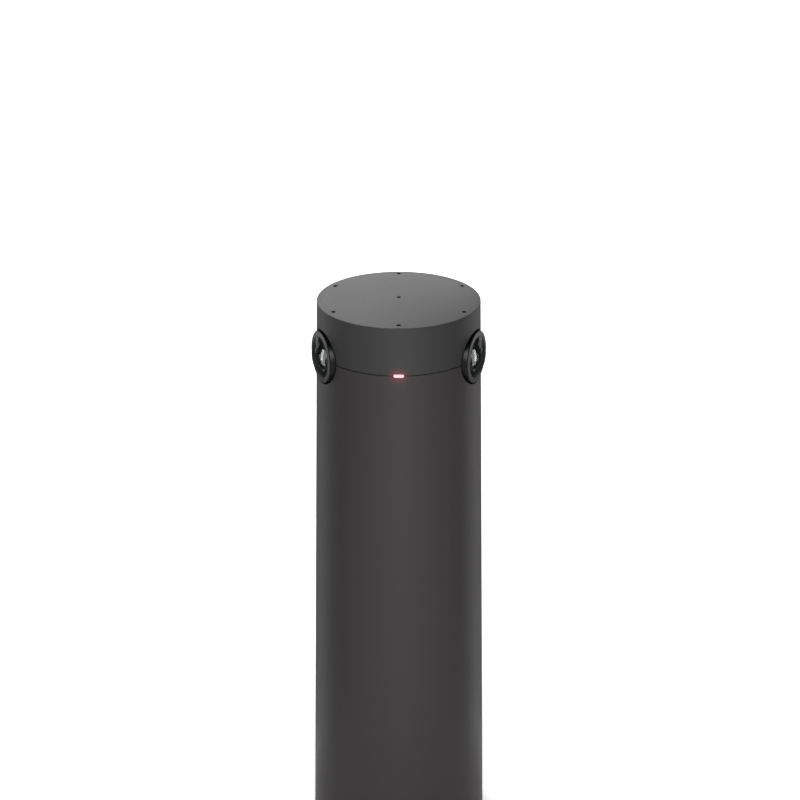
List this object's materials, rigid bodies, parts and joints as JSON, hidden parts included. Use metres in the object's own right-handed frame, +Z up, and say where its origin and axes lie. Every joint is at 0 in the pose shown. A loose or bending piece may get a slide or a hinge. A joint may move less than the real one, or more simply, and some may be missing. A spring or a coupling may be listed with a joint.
{
  "type": "conference camera",
  "caption": "Upright tabletop conference camera: a tapered graphite column whose head has two turned wide-angle lenses, an indicator and sound holes.",
  "frame": {"origin": "centre of the foot ring's underside, on the surface it stands on", "axes": "+Z up along the column; the indicator faces -Y; the lenses look to +X and -X, both turned 22.5 degrees towards -Y"},
  "size_m": [0.0934, 0.0934, 0.3],
  "materials": {
    "graphite_cap": "fine satin moulding, graphite",
    "graphite_sleeve": "fine matte paint, warm graphite",
    "seam_rubber": "matte black",
    "indicator_diffuser": "frosted, lit pinkish white",
    "emitter_plastic": "white with a clear window",
    "board_laminate": "dark green solder mask",
    "flex_film": "amber film",
    "acoustic_mesh": "black woven mesh",
    "gasket_rubber": "soft matte black",
    "can_steel": "plated steel",
    "cast_aluminium": "as cast",
    "chassis_aluminium": "milled",
    "sink_aluminium": "black anodised extrusion",
    "chip_plastic": "moulded black",
    "thermal_rubber": "soft blue pad",
    "power_plastic": "moulded black",
    "base_paint": "textured black paint",
    "foot_rubber": "matte black",
    "insert_brass": "turned",
    "ballast_iron": "cast and blackened",
    "panel_plastic": "fine moulded black",
    "standoff_brass": "turned",
    "jack_steel": "plated steel",
    "switch_plastic": "moulded black",
    "button_plastic": "moulded grey",
    "socket_plastic": "moulded ivory",
    "screw_steel": "black zinc",
    "ring_anodised": "satin face, gloss black barrel",
    "dome_glass": "coated, dark, green sheen",
    "baffle_black": "ribbed flat black",
    "barrel_anodised": "black anodised",
    "small_glass": "coated, green sheen",
    "holder_black": "moulded black",
    "filter_glass": "pale cyan",
    "sensor_silicon": "polished, iridescent",
    "cable_jacket": "thin black jacket"
  },
  "bodies": {
    "column": {"audio_processor": "chip_plastic", "ballast_weight": "ballast_iron", "base_plate": "base_paint", "base_screws": "screw_steel", "board_screws": "screw_steel", "board_sockets": "socket_plastic", "board_standoffs": "standoff_brass", "body_sleeve": "graphite_sleeve", "camera_frame": "cast_aluminium", "case_screws": "screw_steel", "chassis": "chassis_aluminium", "data_socket": "jack_steel", "foot_ring": "foot_rubber", "head_cap": "graphite_cap", "heat_sink": "sink_aluminium", "input_board": "board_laminate", "input_flex": "flex_film", "led_board": "board_laminate", "led_emitter": "emitter_plastic", "led_flex": "flex_film", "left_camera_cable": "cable_jacket", "left_filter_glass": "filter_glass", "left_front_glass": "dome_glass", "left_image_sensor": "sensor_silicon", "left_inner_lenses": "small_glass", "left_lens_baffle": "baffle_black", "left_lens_barrel": "barrel_anodised", "left_lens_holder": "holder_black", "left_lens_ring": "ring_anodised", "left_sensor_board": "board_laminate", "light_pipe": "indicator_diffuser", "mainboard": "board_laminate", "memory_chips": "chip_plastic", "mic_board": "board_laminate", "mic_flex": "flex_film", "mic_gasket": "gasket_rubber", "mic_mesh": "acoustic_mesh", "microphones": "can_steel", "network_jack": "jack_steel", "port_panel": "panel_plastic", "power_parts": "power_plastic", "processor": "chip_plastic", "reset_switch": "switch_plastic", "right_camera_cable": "cable_jacket", "right_filter_glass": "filter_glass", "right_front_glass": "dome_glass", "right_image_sensor": "sensor_silicon", "right_inner_lenses": "small_glass", "right_lens_baffle": "baffle_black", "right_lens_barrel": "barrel_anodised", "right_lens_holder": "holder_black", "right_lens_ring": "ring_anodised", "right_sensor_board": "board_laminate", "seam_gasket": "seam_rubber", "shield_can": "can_steel", "thermal_pad": "thermal_rubber", "tripod_insert": "insert_brass"},
    "button": {"reset_button": "button_plastic"}
  },
  "joints": [
    {"name": "button_press", "type": "slide", "parent": "column", "child": "button", "axis": [0, -1, 0], "range_m": [0, 0.0008], "stiffness_N_per_m": 600, "springref_m": -0.0003}
  ]
}
